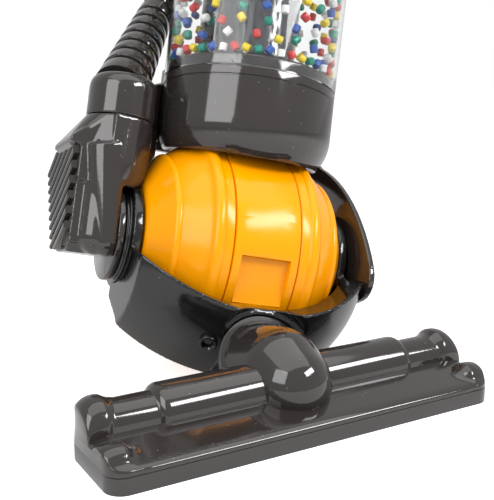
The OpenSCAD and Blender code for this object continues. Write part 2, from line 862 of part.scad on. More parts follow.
// Stadium shaped ring in the YZ plane
module loop(half, straight, r) {
  for (m = [0, 1]) mirror([0, 0, m]) translate([0, 0, straight / 2]) rotate([90, 0, 90])
    rotate_extrude(angle = 180) translate([half, 0]) circle(r);
  for (m = [0, 1]) mirror([0, m, 0]) translate([0, half, 0]) cylinder(h = straight, r = r, center = true);
}

// Loop handle: a sleeve over the wand and a hollow ring that is open to the sleeve
module grip() {
  skin = 1.8;
  loop_y = loop_half - 4;
  loop_z = grip_neck + loop_half + loop_straight / 2;
  color(dark) at_upright() at_wand() translate([0, 0, wand_len]) difference() {
    union() {
      translate([0, 0, -grip_sleeve]) cylinder(h = grip_sleeve + grip_neck, r = neck_out);
      translate([0, loop_y, loop_z]) loop(loop_half, loop_straight, grip_r);
    }
    translate([0, loop_y, loop_z]) loop(loop_half, loop_straight, grip_r - skin);
    translate([0, 0, -grip_sleeve - eps]) cylinder(h = grip_sleeve + seat + eps, r = wand_r + seat);
    translate([0, 2, 0]) cylinder(h = grip_neck, r = grip_r - skin);
    translate([-switch_w / 2 - free, -neck_out - eps, switch_low])
      cube([switch_w + 2 * free, switch_deep + eps, switch_room]);
  }
}

module power_switch() {
  proud = 1.8;
  tall = switch_room - switch_travel - 2 * free;
  color("crimson") at_upright() at_wand()
    translate([-switch_w / 2, -neck_out - proud, wand_len + switch_low + free])
      cube([switch_w, switch_deep + proud - free, tall]);
}

// Angle, height and turn of each pellet that clings to the bin's wall
function clinging(i) = let (k = floor(i / layer_pellets))
  [i * 360 / layer_pellets + k * 11 + 3 * sin(i * 77), pellet_low + k * layer_pitch + sin(i * 131), i * 61];

// Inner radius of the clear bin at a height
function wall_at(z) = tube_in + bin_draft * (z - seam_z) / bin_h;

// Height of the middle of a pellet that lies turned on the floor
function lying(turn) = floor_top + pellet_gap + pellet_len / 2 * abs(cos(turn)) + pellet_r * abs(sin(turn));

// One pellet against the wall
module pellet(angle, z, turn) {
  rotate([0, 0, angle]) translate([wall_at(z) - pellet_r - pellet_gap, 0, z]) rotate([turn, 0, 0])
    cylinder(h = pellet_len, r = pellet_r, center = true, $fn = 24);
}

// Every fifth pellet: a row on the edge of the floor and layers on the wall above it
module pellets(colour, start) {
  color(colour) at_upright() translate([0, bin_y, 0]) {
    for (i = [start:5:rim_pellets - 1]) pellet(i * 360 / rim_pellets, lying(i * 37), i * 37);
    for (i = [start:5:layer_pellets * layers - 1]) let (p = clinging(i)) pellet(p[0], p[1], p[2]);
  }
}

module swirl_motor() {
  color("silver") at_upright() translate([0, bin_y, motor_low + seat]) difference() {
    cylinder(h = 13, r = 12);
    translate([0, 0, 3]) cylinder(h = 20, r = spin_r + run_fit);
  }
}

module swirl_rotor() {
  disc_r = 40;
  disc_t = 1.2;
  vane = 9;
  shaft_low = motor_low + 5;
  color("white") at_upright() translate([0, bin_y, 0]) {
    translate([0, 0, shaft_low]) cylinder(h = rotor_z + disc_t - shaft_low, r = spin_r);
    translate([0, 0, rotor_z]) cylinder(h = disc_t, r = disc_r);
    for (i = [0:5]) rotate([0, 0, i * 60]) translate([disc_r - vane, -disc_t / 2, rotor_z + disc_t / 2])
      cube([vane, disc_t, 3.4]);
  }
}

head_base();
head_shell();
neck_cowl();
neck_retainer();
yoke();
hub_cap(1);  // hub_cap_left
hub_cap(0);  // hub_cap_right
wheel(1);  // wheel_left
wheel(0);  // wheel_right
axle();
drum();
debris_drawer();
battery_door();
battery_tray();
battery_cell(-1, cell_low);  // battery_cell_1
battery_cell(1, cell_low);  // battery_cell_2
battery_cell(-1, cell_high);  // battery_cell_3
battery_cell(1, cell_high);  // battery_cell_4
chassis();
cup();
bin_floor();
bin_tube();
cyclone();
bin_cap();
release_button();
carry_handle();
spine();
vent_housing();
vent_grille();
fan();
fan_motor();
hose_collar();
hose();
wand();
wand_clamp();
grip();
power_switch();
swirl_motor();
swirl_rotor();
pellets("red", 0);  // pellets_red
pellets("gold", 1);  // pellets_yellow
pellets("teal", 2);  // pellets_green
pellets("royalblue", 3);  // pellets_blue
pellets("white", 4);  // pellets_white
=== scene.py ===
from math import acos, atan2, cos, degrees, pi, radians, sin, sqrt

import bpy
from mathutils import Matrix, Vector


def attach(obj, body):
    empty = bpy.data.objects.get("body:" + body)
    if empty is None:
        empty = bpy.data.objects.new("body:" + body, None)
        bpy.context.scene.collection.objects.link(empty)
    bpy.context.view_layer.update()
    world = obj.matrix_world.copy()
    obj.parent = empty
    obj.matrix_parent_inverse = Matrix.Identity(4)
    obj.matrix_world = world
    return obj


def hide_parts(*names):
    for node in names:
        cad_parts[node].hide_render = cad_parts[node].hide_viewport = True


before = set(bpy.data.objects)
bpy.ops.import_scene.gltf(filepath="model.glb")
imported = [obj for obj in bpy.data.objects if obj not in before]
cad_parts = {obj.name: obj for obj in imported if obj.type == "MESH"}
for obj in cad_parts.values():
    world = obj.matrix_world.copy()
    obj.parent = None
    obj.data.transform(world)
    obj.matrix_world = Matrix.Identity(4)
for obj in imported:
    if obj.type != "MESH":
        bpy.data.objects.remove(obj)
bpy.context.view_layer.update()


# Tray of the floor head: a shallow dark moulding with the suction slot in its sole.
# Injection moulded in glossy plastic, with a few specks of dust on it.
# The shell above snaps onto its rim.
MM = 0.001
TOUCHING = 1e-6


def only(piece):
    """Leaves just this piece selected and active."""
    bpy.ops.object.select_all(action="DESELECT")
    bpy.context.view_layer.objects.active = piece
    piece.select_set(True)


def open_mesh(choice="SELECT"):
    """Opens the active piece for editing, with all of it selected or none."""
    bpy.ops.object.mode_set(mode="EDIT")
    bpy.ops.mesh.select_all(action=choice)


def close_mesh():
    """Goes back from editing to the whole piece."""
    bpy.ops.object.mode_set(mode="OBJECT")


def cad_copy(node, name):
    """A new piece with the mesh of a CAD node, its doubles merged."""
    piece = bpy.data.objects.new(name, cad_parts[node].data.copy())
    bpy.context.collection.objects.link(piece)
    piece.data.name = name
    piece.data.materials.clear()
    only(piece)
    bpy.ops.mesh.customdata_custom_splitnormals_clear()
    open_mesh()
    bpy.ops.mesh.remove_doubles(threshold=TOUCHING)
    close_mesh()
    return piece


def crisp(node, name, edge, steps=2):
    """A copy of a CAD node with its sharp edges rounded to a small radius in mm."""
    flat, sharp = radians(0.4), radians(32)
    piece = cad_copy(node, name)
    open_mesh()
    bpy.ops.mesh.dissolve_limited(angle_limit=flat)
    bpy.ops.mesh.select_all(action="DESELECT")
    bpy.ops.mesh.edges_select_sharp(sharpness=sharp)
    bpy.ops.mesh.bevel(offset=edge * MM, segments=steps, affect="EDGES", clamp_overlap=False)
    close_mesh()
    bpy.ops.object.shade_smooth_by_angle(angle=sharp)
    return piece


def set_inputs(node, values):
    """Sets inputs of a node by their names."""
    for socket, value in values.items():
        node.inputs[socket].default_value = value


def moulded_group():
    """Shader group of a moulded skin: cloudy tone, fine orange peel and stray dust."""
    dust_colour, dust_grain, speck_size = (0.62, 0.6, 0.57, 1), 170, 0.045
    rough_drift, peel_share = 0.05, 0.6
    group = bpy.data.node_groups.new("moulded_skin", "ShaderNodeTree")
    for name, kind, start in (("Colour", "NodeSocketColor", (0.5, 0.5, 0.5, 1)),
                              ("Cloud", "NodeSocketFloat", 0.1),
                              ("Dust", "NodeSocketFloat", 0.2),
                              ("Roughness", "NodeSocketFloat", 0.2)):
        socket = group.interface.new_socket(name, in_out="INPUT", socket_type=kind)
        socket.default_value = start
    for name, kind in (("Colour", "NodeSocketColor"),
                       ("Roughness", "NodeSocketFloat"),
                       ("Height", "NodeSocketFloat")):
        group.interface.new_socket(name, in_out="OUTPUT", socket_type=kind)
    add, link = group.nodes.new, group.links.new
    given, out = add("NodeGroupInput"), add("NodeGroupOutput")
    place = add("ShaderNodeTexCoord")

    def noise(scale, detail):
        made = add("ShaderNodeTexNoise")
        set_inputs(made, {"Scale": scale, "Detail": detail})
        link(place.outputs["Object"], made.inputs["Vector"])
        return made.outputs["Fac"]

    def math(kind, a, b):
        made = add("ShaderNodeMath")
        made.operation = kind
        for socket, value in zip(made.inputs, (a, b)):
            if isinstance(value, (int, float)):
                socket.default_value = value
            else:
                link(value, socket)
        return made.outputs[0]

    cloud = noise(scale=38, detail=3)
    peel = noise(scale=1500, detail=2)
    uneven = math("SUBTRACT", cloud, 0.5)
    grains = add("ShaderNodeTexVoronoi")
    set_inputs(grains, {"Scale": dust_grain})
    link(place.outputs["Object"], grains.inputs["Vector"])
    speck = math("LESS_THAN", grains.outputs["Distance"], speck_size)
    shade = math("ADD", 1, math("MULTIPLY", uneven, given.outputs["Cloud"]))
    tone = add("ShaderNodeMix")
    tone.data_type, tone.blend_type = "RGBA", "MULTIPLY"
    set_inputs(tone, {"Factor": 1})
    link(given.outputs["Colour"], tone.inputs["A"])
    link(shade, tone.inputs["B"])
    dusty = add("ShaderNodeMix")
    dusty.data_type = "RGBA"
    set_inputs(dusty, {"B": dust_colour})
    link(math("MULTIPLY", speck, given.outputs["Dust"]), dusty.inputs["Factor"])
    link(tone.outputs["Result"], dusty.inputs["A"])
    link(dusty.outputs["Result"], out.inputs["Colour"])
    rough = math("ADD", given.outputs["Roughness"], math("MULTIPLY", uneven, rough_drift))
    link(rough, out.inputs["Roughness"])
    height = math("ADD", math("MULTIPLY", peel, peel_share), math("MULTIPLY", cloud, 1 - peel_share))
    link(height, out.inputs["Height"])
    return group


skin_group = moulded_group()


def finish(name, colour, rough, coat=0.0, cloud=0.16, dust=0.0, peel=0.1, shine=0.5, metal=0.0):
    """A finish: the moulded skin feeds colour, roughness and a faint bump of a plastic or a metal."""
    made = bpy.data.materials.new(name)
    made.use_nodes = True
    nodes, links = made.node_tree.nodes, made.node_tree.links
    shader = nodes["Principled BSDF"]
    skin = nodes.new("ShaderNodeGroup")
    skin.node_tree = skin_group
    bump = nodes.new("ShaderNodeBump")
    set_inputs(skin, {"Colour": (*colour, 1), "Cloud": cloud, "Dust": dust, "Roughness": rough})
    set_inputs(bump, {"Strength": peel, "Distance": 0.2 * MM})
    set_inputs(shader, {"Metallic": metal, "IOR": 1.5, "Specular IOR Level": shine})
    set_inputs(shader, {"Coat Weight": coat, "Coat Roughness": 0.03})
    links.new(skin.outputs["Colour"], shader.inputs["Base Color"])
    links.new(skin.outputs["Roughness"], shader.inputs["Roughness"])
    links.new(skin.outputs["Height"], bump.inputs["Height"])
    links.new(bump.outputs["Normal"], shader.inputs["Normal"])
    return made


def settle(piece, material, body, slot, *nodes):
    """Paints a finished piece, fixes it to its body and hides the nodes that it stands for."""
    piece.data.materials.clear()
    piece.data.materials.append(material)
    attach(piece, body)
    if nodes:
        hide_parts(*nodes)


dark_moulding = finish("dark_moulding", (0.024, 0.0203, 0.019), rough=0.09, coat=0.5, dust=0.3)
settle(crisp("head_base", "head_tray", edge=0.4), dark_moulding, "head", "dark", "head_base")


# Shell of the floor head: a sloping shelf, fat rolls beside the neck, slim rolls and humped end caps.
# One glossy dark moulding with an even wall, whose forms run into each other with small fillets.
# It is drawn with rays from the middle of the tray's top, at stations along the head. Sizes in mm.
HEAD_HALF, HEAD_BACK, HEAD_CORNER, TRAY_TOP, SHELL_WALL = 107.5, 25.8, 9, 8.15, 1.6
SHELF_HIGH, SHELF_SLOPE, SHELF_TURN, SHELF_BLEND, BACK_HIGH = 8.6, 0.22, 0.4, 5, 13
ROLL_Y, ROLL_Z, SLIM_ROLL, FAT_ROLL, FAT_HALF, FAT_ROUND = 11.2, 17.5, 11, 14, 68, 5
CAP_FROM, CAP_RUN, CAP_BLEND, SADDLE_BLEND = 91, 7, 4, 9
# The rear and front hump of an end cap: y, z, radius at the start and growth.
CAP_HUMPS = ((12, 18.2, 9, 4), (-13.5, 10.4, 4.2, 4.4))
END_ROUND, END_SHARE = 8.5, 0.36
CREASE_BLEND, STEP_BLEND = 1.2, 0.5
RAYS, FIRST_RAY, LAST_RAY = 120, 0.05, 179.95
LEAST = 1e-4


def soft_max(a, b, blend):
    """The larger of two numbers, rounded off where they are nearly equal."""
    near = max(blend - abs(a - b), 0) / blend
    return max(a, b) + near * near * blend / 4


def soft_min(a, b, blend):
    """The smaller of two numbers, rounded off where they are nearly equal."""
    return -soft_max(-a, -b, blend)


def ray_to_circle(dy, dz, y, z, radius):
    """How far a ray from the middle of the tray's top runs inside a circle, or a large negative number."""
    z -= TRAY_TOP
    ahead = dy * y + dz * z
    gap = radius * radius - (y * y + z * z - ahead * ahead)
    return ahead + sqrt(gap) if gap > 0 else -60.0


def roll_radius(out):
    """Radius of the roll at a distance from the middle: fat, then round at its end, then slim."""
    past = max(out - FAT_HALF, 0)
    fat = FAT_ROLL - FAT_ROUND + sqrt(max(FAT_ROUND ** 2 - past ** 2, 0))
    return soft_max(SLIM_ROLL, fat, STEP_BLEND)


def shell_reach(x, angle):
    """Distance from the middle of the tray's top to the shell at one place along the head."""
    dy, dz = -cos(angle), sin(angle)
    out = abs(x)
    corner = max(out - (HEAD_HALF - HEAD_CORNER), 0)
    depth = HEAD_BACK - HEAD_CORNER + sqrt(max(HEAD_CORNER ** 2 - corner ** 2, 0))
    side = depth / max(abs(dy), LEAST)
    if dy < SHELF_TURN:
        shelf = SHELF_HIGH / max(dz - SHELF_SLOPE * dy, LEAST)
    else:
        shelf = BACK_HIGH / max(dz, LEAST)
    reach = soft_min(side, shelf, SHELF_BLEND)
    reach = soft_max(reach, ray_to_circle(dy, dz, ROLL_Y, ROLL_Z, roll_radius(out)), CREASE_BLEND)
    rise = min(max((out - CAP_FROM) / CAP_RUN, 0), 1)
    if rise > 0:
        grown = rise * rise * (3 - 2 * rise)
        humps = [ray_to_circle(dy, dz, y, z, start + growth * grown) for y, z, start, growth in CAP_HUMPS]
        reach = soft_max(reach, soft_max(*humps, SADDLE_BLEND), CAP_BLEND)
        reach = soft_min(reach, side, CREASE_BLEND)
    end = max(out - (HEAD_HALF - END_ROUND), 0)
    fall = 1 - sqrt(max(1 - (end / END_ROUND) ** 2, 0))
    return reach - fall * min(END_ROUND, END_SHARE * reach) * dz


def spaced(start, step, count):
    """Evenly spaced places along the head."""
    return [start + step * place for place in range(count)]


right_half = spaced(0, 4, 16) + spaced(62, 0.5, 26) + spaced(76, 2, 9) + spaced(92, 0.4, 38)
right_half += [HEAD_HALF - 0.3, HEAD_HALF]
stations = sorted({round(way * x, 3) for way in (-1, 1) for x in right_half})
bpy.ops.object.select_all(action="DESELECT")
bpy.ops.mesh.primitive_grid_add(x_subdivisions=len(stations) - 1, y_subdivisions=RAYS, size=1)
shell = bpy.context.object
shell.name = shell.data.name = "head_shell_skin"
for index, vert in enumerate(shell.data.vertices):
    ray, station = divmod(index, len(stations))
    angle = radians(FIRST_RAY + (LAST_RAY - FIRST_RAY) * ray / RAYS)
    reach = shell_reach(stations[station], angle)
    vert.co = Vector((stations[station], -cos(angle) * reach, TRAY_TOP + sin(angle) * reach)) * MM
for end in (-1, 1):
    open_mesh("DESELECT")
    close_mesh()
    for vert in shell.data.vertices:
        vert.select = abs(vert.co.x - end * HEAD_HALF * MM) < TOUCHING
    bpy.ops.object.mode_set(mode="EDIT")
    bpy.ops.mesh.select_mode(type="VERT")
    bpy.ops.mesh.edge_face_add()
    close_mesh()
open_mesh()
bpy.ops.mesh.normals_make_consistent(inside=False)
close_mesh()
shell_wall = shell.modifiers.new("wall", "SOLIDIFY")
shell_wall.thickness, shell_wall.offset = SHELL_WALL * MM, -1
bpy.ops.object.modifier_apply(modifier="wall")
bpy.ops.object.shade_smooth_by_angle(angle=radians(35))
settle(shell, dark_moulding, "head", "dark", "head_shell")


# Cowl of the neck: an egg shaped moulding that grows out of the head, with a grooved flange at its back.
# Of the same glossy dark plastic as the shell. The yoke's spigot turns in it.
NECK_Y, NECK_Z, NECK_RISE, NECK_R = 28.6, 22.8, 34.6, 24.4
COWL_BALLS = ((0, 16, 23.5, 22.5), (0, 5, 20, 20.5))
COWL_FOOT = 4
FLANGE_IN, FLANGE_LOW, FLANGE_HIGH, GROOVE_R = 20, -1.2, 1.4, 26.1
CREASE = radians(28)


def melt(piece, voxel, rounds):
    """Remeshes a piece and lets its creases run into fillets, as a mould leaves them. Voxel in mm."""
    only(piece)
    skin = piece.modifiers.new("skin", "REMESH")
    skin.mode = "VOXEL"
    skin.voxel_size = voxel * MM
    fillets = piece.modifiers.new("fillets", "SMOOTH")
    fillets.factor = 0.5
    fillets.iterations = rounds
    for step in ("skin", "fillets"):
        bpy.ops.object.modifier_apply(modifier=step)
    bpy.ops.object.shade_smooth()
    return piece


def turn(axis, angle):
    """A turn about an axis, in degrees."""
    return Matrix.Rotation(radians(angle), 4, axis)


def shift(x, y, z):
    """A move, in mm."""
    return Matrix.Translation(Vector((x, y, z)) * MM)


def put(place):
    """Sets the new primitive in its place and keeps the place in its mesh."""
    made = bpy.context.object
    made.matrix_world = place
    bpy.ops.object.transform_apply()
    return made


def disc(radius, corners, place):
    """A ring of points in mm, as the end of a hull."""
    bpy.ops.object.select_all(action="DESELECT")
    bpy.ops.mesh.primitive_circle_add(vertices=corners, radius=radius * MM)
    return put(place)


def ball(radius, segments, rings, place):
    """A ball in mm, as part of a hull or as a cutter."""
    bpy.ops.object.select_all(action="DESELECT")
    bpy.ops.mesh.primitive_uv_sphere_add(segments=segments, ring_count=rings, radius=radius * MM)
    return put(place)


def joined(first, *others):
    """Makes one piece of several, named as the first."""
    only(first)
    for piece in others:
        piece.select_set(True)
    bpy.ops.object.join()
    return first


def hull(name, parts):
    """One skin stretched over several parts."""
    made = joined(*parts)
    made.name = made.data.name = name
    open_mesh()
    bpy.ops.mesh.convex_hull()
    close_mesh()
    return made


def arc(r, z, radius, start, end, steps):
    """Points of an arc in an outline, from one angle to another, in mm and degrees."""
    angles = [radians(start + (end - start) * step / steps) for step in range(steps + 1)]
    return [(r + radius * cos(angle), z + radius * sin(angle)) for angle in angles]


def turned(name, outline, place, steps=128):
    """Spins a closed outline of (radius, height) in mm about Z and sets the ring in its place."""
    bpy.ops.object.select_all(action="DESELECT")
    bpy.ops.mesh.primitive_circle_add(vertices=len(outline), radius=MM)
    piece = bpy.context.object
    piece.name = piece.data.name = name
    for vert, (radius, height) in zip(piece.data.vertices, outline):
        vert.co = (radius * MM, 0, height * MM)
    open_mesh()
    bpy.ops.mesh.spin(steps=steps, angle=2 * pi, center=(0, 0, 0), axis=(0, 0, 1))
    bpy.ops.mesh.select_all(action="SELECT")
    bpy.ops.mesh.remove_doubles(threshold=TOUCHING)
    bpy.ops.mesh.normals_make_consistent(inside=False)
    close_mesh()
    put(place)
    bpy.ops.object.shade_smooth_by_angle(angle=CREASE)
    return piece


neck = shift(0, NECK_Y, NECK_Z) @ turn("X", 90 - NECK_RISE)
cowl_parts = [disc(NECK_R, 120, neck)]
cowl_parts += [ball(radius, 96, 64, shift(x, y, z)) for x, y, z, radius in COWL_BALLS]
cowl = melt(hull("neck_cowl_skin", cowl_parts), voxel=0.7, rounds=14)
flange_line = ([(FLANGE_IN, FLANGE_LOW), (25.4, FLANGE_LOW)] + arc(25.6, FLANGE_LOW + 1, 1, -90, 40, 8)
               + [(GROOVE_R, 0.5), (GROOVE_R, 0.7)] + arc(26.2, FLANGE_HIGH - 0.4, 0.4, -40, 90, 5)
               + [(FLANGE_IN, FLANGE_HIGH)])
cowl = joined(cowl, turned("flange", flange_line, neck))
open_mesh()
bpy.ops.mesh.bisect(plane_co=(0, 0, COWL_FOOT * MM), plane_no=(0, 0, -1), clear_outer=True)
close_mesh()
bpy.ops.object.shade_smooth_by_angle(angle=CREASE)
settle(cowl, dark_moulding, "head", "dark", "neck_cowl")


# Yoke: the cradle whose two arms hold the axle, with a spigot for the neck and a screw boss on its front.
# One thick glossy moulding with a rounded rim, of the shell's dark plastic whose colour is made darker
# still, nearly black, as painted shade on faces that turn down and to the front.
# A black disc inside the cowl keeps its spigot from coming out.
NECK_ROLL, BALL_Y, BALL_Z = -14.7, 112.7, 69.55
BOSS_SPOT = Vector((-23.7, 47.6, 33.9))
BOSS_R, BOSS_HOLE, BOSS_FOOT, BOSS_TOP, BOSS_ROUND, BOSS_EDGE = 5, 2.6, -3.5, 2.2, 0.6, 0.8
SCREW_R, SCREW_FOOT, SCREW_SOCKET = 2.5, -3.2, -0.9


def soft(node, name, voxel, rounds):
    """A copy of a CAD node with its creases melted."""
    return melt(cad_copy(node, name), voxel, rounds)


def paint(node, material):
    """Gives a CAD node that stays in view its finish."""
    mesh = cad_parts[node].data
    mesh.materials.clear()
    mesh.materials.append(material)


# The yoke's finish is the dark moulding made nearly black: painted shade for faces that turn down and to the
# front.
yoke_painted_shade_moulding = finish("yoke_painted_shade_moulding", (0.006, 0.0055, 0.0053), rough=0.12, coat=0.2, dust=0.25)
black_moulding = finish("black_moulding", (0.012, 0.012, 0.012), rough=0.22, coat=0.4, dust=0.15)
settle(soft("yoke", "yoke_skin", voxel=0.8, rounds=6), yoke_painted_shade_moulding, "yoke", "dark", "yoke")
yoke_place = neck @ turn("Z", NECK_ROLL) @ neck.inverted() @ shift(0, BALL_Y, BALL_Z)
from_ball = BOSS_SPOT - yoke_place.translation / MM
boss_place = shift(*BOSS_SPOT) @ from_ball.to_track_quat("Z", "Y").to_matrix().to_4x4()
boss_line = ([(BOSS_HOLE, BOSS_FOOT), (BOSS_R, BOSS_FOOT)]
             + arc(BOSS_R - BOSS_ROUND, BOSS_TOP - BOSS_ROUND, BOSS_ROUND, 0, 90, 4)
             + [(BOSS_HOLE + BOSS_EDGE, BOSS_TOP), (BOSS_HOLE, BOSS_TOP - BOSS_EDGE)])
settle(turned("yoke_boss", boss_line, boss_place, 48), yoke_painted_shade_moulding, "yoke", "dark")
screw_line = [(0, SCREW_FOOT), (SCREW_R, SCREW_FOOT), (SCREW_R, -1.2), (2.1, -0.6), (1, -0.4),
              (0.9, SCREW_SOCKET), (0, SCREW_SOCKET)]
settle(turned("yoke_screw", screw_line, boss_place, 32), black_moulding, "yoke", "black")
paint("neck_retainer", black_moulding)


# Hub caps: black discs with a stepped rim that cover the ends of the yoke's arms.
# Moulded in glossy black plastic and fixed to the arms, so the wheels turn behind them.
for side in ("left", "right"):
    hub_disc = crisp(f"hub_cap_{side}", f"hub_disc_{side}", edge=0.5, steps=3)
    settle(hub_disc, black_moulding, "yoke", "black", f"hub_cap_{side}")


# Wheels of the ball: two hollow amber bowls with a bead at each edge of a round skin and a cone at the end.
# Glossy through-dyed plastic. Each turns on the axle with the hub tube inside it.
RECLINE = -10.8
AXLE_BORE, HUB_R, HUB_IN, HUB_OUT = 3.06, 7, 21, 60.6
SKIN_R, LINING_R, RIM_IN, FACE_IN, FACE_OUT = 67, 64.2, 20, 57, 59.8


def on_sphere(radius, places):
    """Points of an outline on a sphere about the ball's centre, at places along the axle."""
    return [(sqrt(radius ** 2 - place ** 2), place) for place in places]


upright = yoke_place @ turn("X", RECLINE)
amber_moulding = finish("amber_moulding", (0.95, 0.34, 0.0), rough=0.19, cloud=0.06, peel=0.04, shine=0.28)
rim = [(60.5, RIM_IN), (60.9, RIM_IN + 0.5), (60.9, 23.4)]
inner_bead = arc(58.6, 28, 4, -50, 72, 18)
round_skin = on_sphere(SKIN_R, (33.4, 35, 36.5, 38, 39.5, 41, 42.5, 43.8))
outer_bead = arc(46.9, 47, 2.7, -36, 70, 14)
cone = [(37, 56.6), (34.2, 58.4), (33, 59.3), (31.5, FACE_OUT), (12, FACE_OUT), (11, HUB_OUT)]
hub = [(AXLE_BORE, HUB_OUT), (AXLE_BORE, HUB_IN), (HUB_R, HUB_IN), (HUB_R, FACE_IN), (31, FACE_IN)]
lining = on_sphere(LINING_R, (52, 46, 38, 32)) + [(58.2, RIM_IN)]
wheel_line = rim + inner_bead + round_skin + outer_bead + cone + hub + lining
for side, way in (("left", -90), ("right", 90)):
    wheel = turned(f"wheel_bowl_{side}", wheel_line, upright @ turn("Y", way), 160)
    settle(wheel, amber_moulding, f"wheel_{side}", "amber", f"wheel_{side}")


# Drum: the fixed middle of the ball with a shallow recess in its front, a drawer and a battery door behind.
# Of the same amber plastic as the wheels. The drawer slides out to the back, and the door is set flush.
for node, name, body, edge in (("drum", "drum_skin", "upright", 0.6),
                               ("debris_drawer", "drawer_skin", "debris_drawer", 0.5),
                               ("battery_door", "battery_door_skin", "upright", 0.5)):
    settle(crisp(node, name, edge), amber_moulding, body, "amber", node)


# Axle and power: a plain steel rod through the ball, and four wrapped dry cells in a black tray.
# The axle is pressed into the drum. The tray sits inside the drum, behind the battery door.
steel_rod = finish("steel_rod", (0.6, 0.6, 0.6), rough=0.3, cloud=0.1, metal=1)
cell_wrap = finish("cell_wrap", (0.55, 0.33, 0.05), rough=0.25)
paint("axle", steel_rod)
paint("battery_tray", black_moulding)
for cell in range(1, 5):
    paint(f"battery_cell_{cell}", cell_wrap)


# Chassis: two cheeks over the arms, joined behind the ball by a bridge that carries the bin and the spine.
# One dark glossy moulding with broad round edges. It leans on the axle.
settle(crisp("chassis", "chassis_skin", edge=0.9, steps=3), dark_moulding, "upright", "dark", "chassis")


# Cup under the bin: a round dark bowl with a broad lower roll and a fine groove below its rim.
# Glossy plastic with a thin wall. Its underside is hollowed to clear the ball.
BIN_AHEAD, CUP_R, CUP_LOW, CUP_ROLL, CUP_WALL, CUP_FLOOR, SEAM = 8.9, 51.2, 41, 28, 2.4, 76, 96.6
CUP_GROOVE, GROOVE_DEEP, CUP_EDGE, BALL_ROOM = 90.6, 0.5, 0.6, 71


def cut_by(piece, cutter, way="DIFFERENCE"):
    """Cuts one piece with another, which is then thrown away."""
    only(piece)
    cut = piece.modifiers.new("cut", "BOOLEAN")
    cut.operation, cut.object, cut.solver = way, cutter, "EXACT"
    bpy.ops.object.modifier_apply(modifier="cut")
    bpy.data.objects.remove(cutter)
    return piece


bin_axis = upright @ shift(0, -BIN_AHEAD, 0)
groove_r = CUP_R - GROOVE_DEEP
cup_line = ([(0, CUP_LOW)] + arc(CUP_R - CUP_ROLL, CUP_LOW + CUP_ROLL, CUP_ROLL, -90, 0, 48)
            + [(CUP_R, CUP_GROOVE), (groove_r, CUP_GROOVE + 0.3)]
            + [(groove_r, CUP_GROOVE + 0.9), (CUP_R, CUP_GROOVE + 1.2)]
            + arc(CUP_R - CUP_EDGE, SEAM - CUP_EDGE, CUP_EDGE, 0, 90, 4)
            + [(CUP_R - CUP_WALL, SEAM), (CUP_R - CUP_WALL, CUP_FLOOR), (0, CUP_FLOOR)])
cup = cut_by(turned("cup_skin", cup_line, bin_axis, 160), ball(BALL_ROOM, 128, 96, upright))
only(cup)
bpy.ops.object.shade_smooth_by_angle(angle=CREASE)
settle(cup, dark_moulding, "upright", "dark", "cup")


# Floor of the bin: a round dark plate with a soft lip that closes the clear tube from below.
# Glossy plastic, set on the cup. The rotor's shaft comes through its middle.
TUBE_WALL, SEAT = 1.8, 0.15
PLATE_TOP, PLATE_UNDER, PLATE_WALL, SHAFT_HOLE, LIP_ROUND = 7.6, 5.2, 2.4, 2.06, 2
tube_in = CUP_R - TUBE_WALL
lip = tube_in - SEAT
floor_top = SEAM + PLATE_TOP
floor_line = ([(SHAFT_HOLE, SEAM + PLATE_UNDER), (lip - PLATE_WALL, SEAM + PLATE_UNDER)]
              + [(lip - PLATE_WALL, SEAM + SEAT), (lip, SEAM + SEAT)]
              + arc(lip - LIP_ROUND, floor_top - LIP_ROUND, LIP_ROUND, 0, 90, 8) + [(SHAFT_HOLE, floor_top)])
settle(turned("bin_floor_skin", floor_line, bin_axis, 160), dark_moulding, "upright", "dark", "bin_floor")


# Clear bin: a thin tube, a little wider at the top, with softened rims.
# Clear plastic with a faint haze that comes and goes. It stands on the cup round the floor's lip.
BIN_TOP, DRAFT, RIM_EDGE = 206.6, 1.4, 0.4
clear_bin = bpy.data.materials.new("clear_bin")
clear_bin.use_nodes = True
clear_nodes, clear_links = clear_bin.node_tree.nodes, clear_bin.node_tree.links
clear_shader = clear_nodes["Principled BSDF"]
set_inputs(clear_shader, {"Base Color": (0.97, 0.98, 0.98, 1), "Transmission Weight": 1, "IOR": 1.3})
haze_place = clear_nodes.new("ShaderNodeTexCoord")
haze = clear_nodes.new("ShaderNodeTexNoise")
haze_level = clear_nodes.new("ShaderNodeMapRange")
set_inputs(haze, {"Scale": 60})
set_inputs(haze_level, {"To Min": 0.01, "To Max": 0.06})
clear_links.new(haze_place.outputs["Object"], haze.inputs["Vector"])
clear_links.new(haze.outputs["Fac"], haze_level.inputs["Value"])
clear_links.new(haze_level.outputs["Result"], clear_shader.inputs["Roughness"])
wide_in, wide_out = tube_in + DRAFT, CUP_R + DRAFT
tube_line = [(tube_in, SEAM + 0.5), (tube_in + RIM_EDGE, SEAM + SEAT),
             (CUP_R - RIM_EDGE, SEAM + SEAT), (CUP_R, SEAM + 0.5),
             (wide_out, BIN_TOP - RIM_EDGE), (wide_out - RIM_EDGE, BIN_TOP),
             (wide_in + RIM_EDGE, BIN_TOP), (wide_in, BIN_TOP - RIM_EDGE)]
settle(turned("bin_tube_skin", tube_line, bin_axis, 192), clear_bin, "upright", "clear", "bin_tube")


# Centre tube of the bin: a straight tube with a skirt at its foot, standing clear of the spinning rotor.
# Dark grey glossy plastic. It hangs from the cap.
CORE_IN, CORE_R, SKIRT_R, CORE_LIFT = 23.4, 25, 28, 3
smoke_moulding = finish("smoke_moulding", (0.06, 0.06, 0.068), rough=0.14, coat=0.6)
foot = floor_top + CORE_LIFT
core_line = [(CORE_IN, foot), (SKIRT_R - 0.4, foot), (SKIRT_R, foot + 0.5), (SKIRT_R, foot + 2),
             (CORE_R + 0.2, foot + 5), (CORE_R, foot + 6), (CORE_R, BIN_TOP), (CORE_IN, BIN_TOP)]
settle(turned("cyclone_skin", core_line, bin_axis, 96), smoke_moulding, "upright", "smoke", "cyclone")


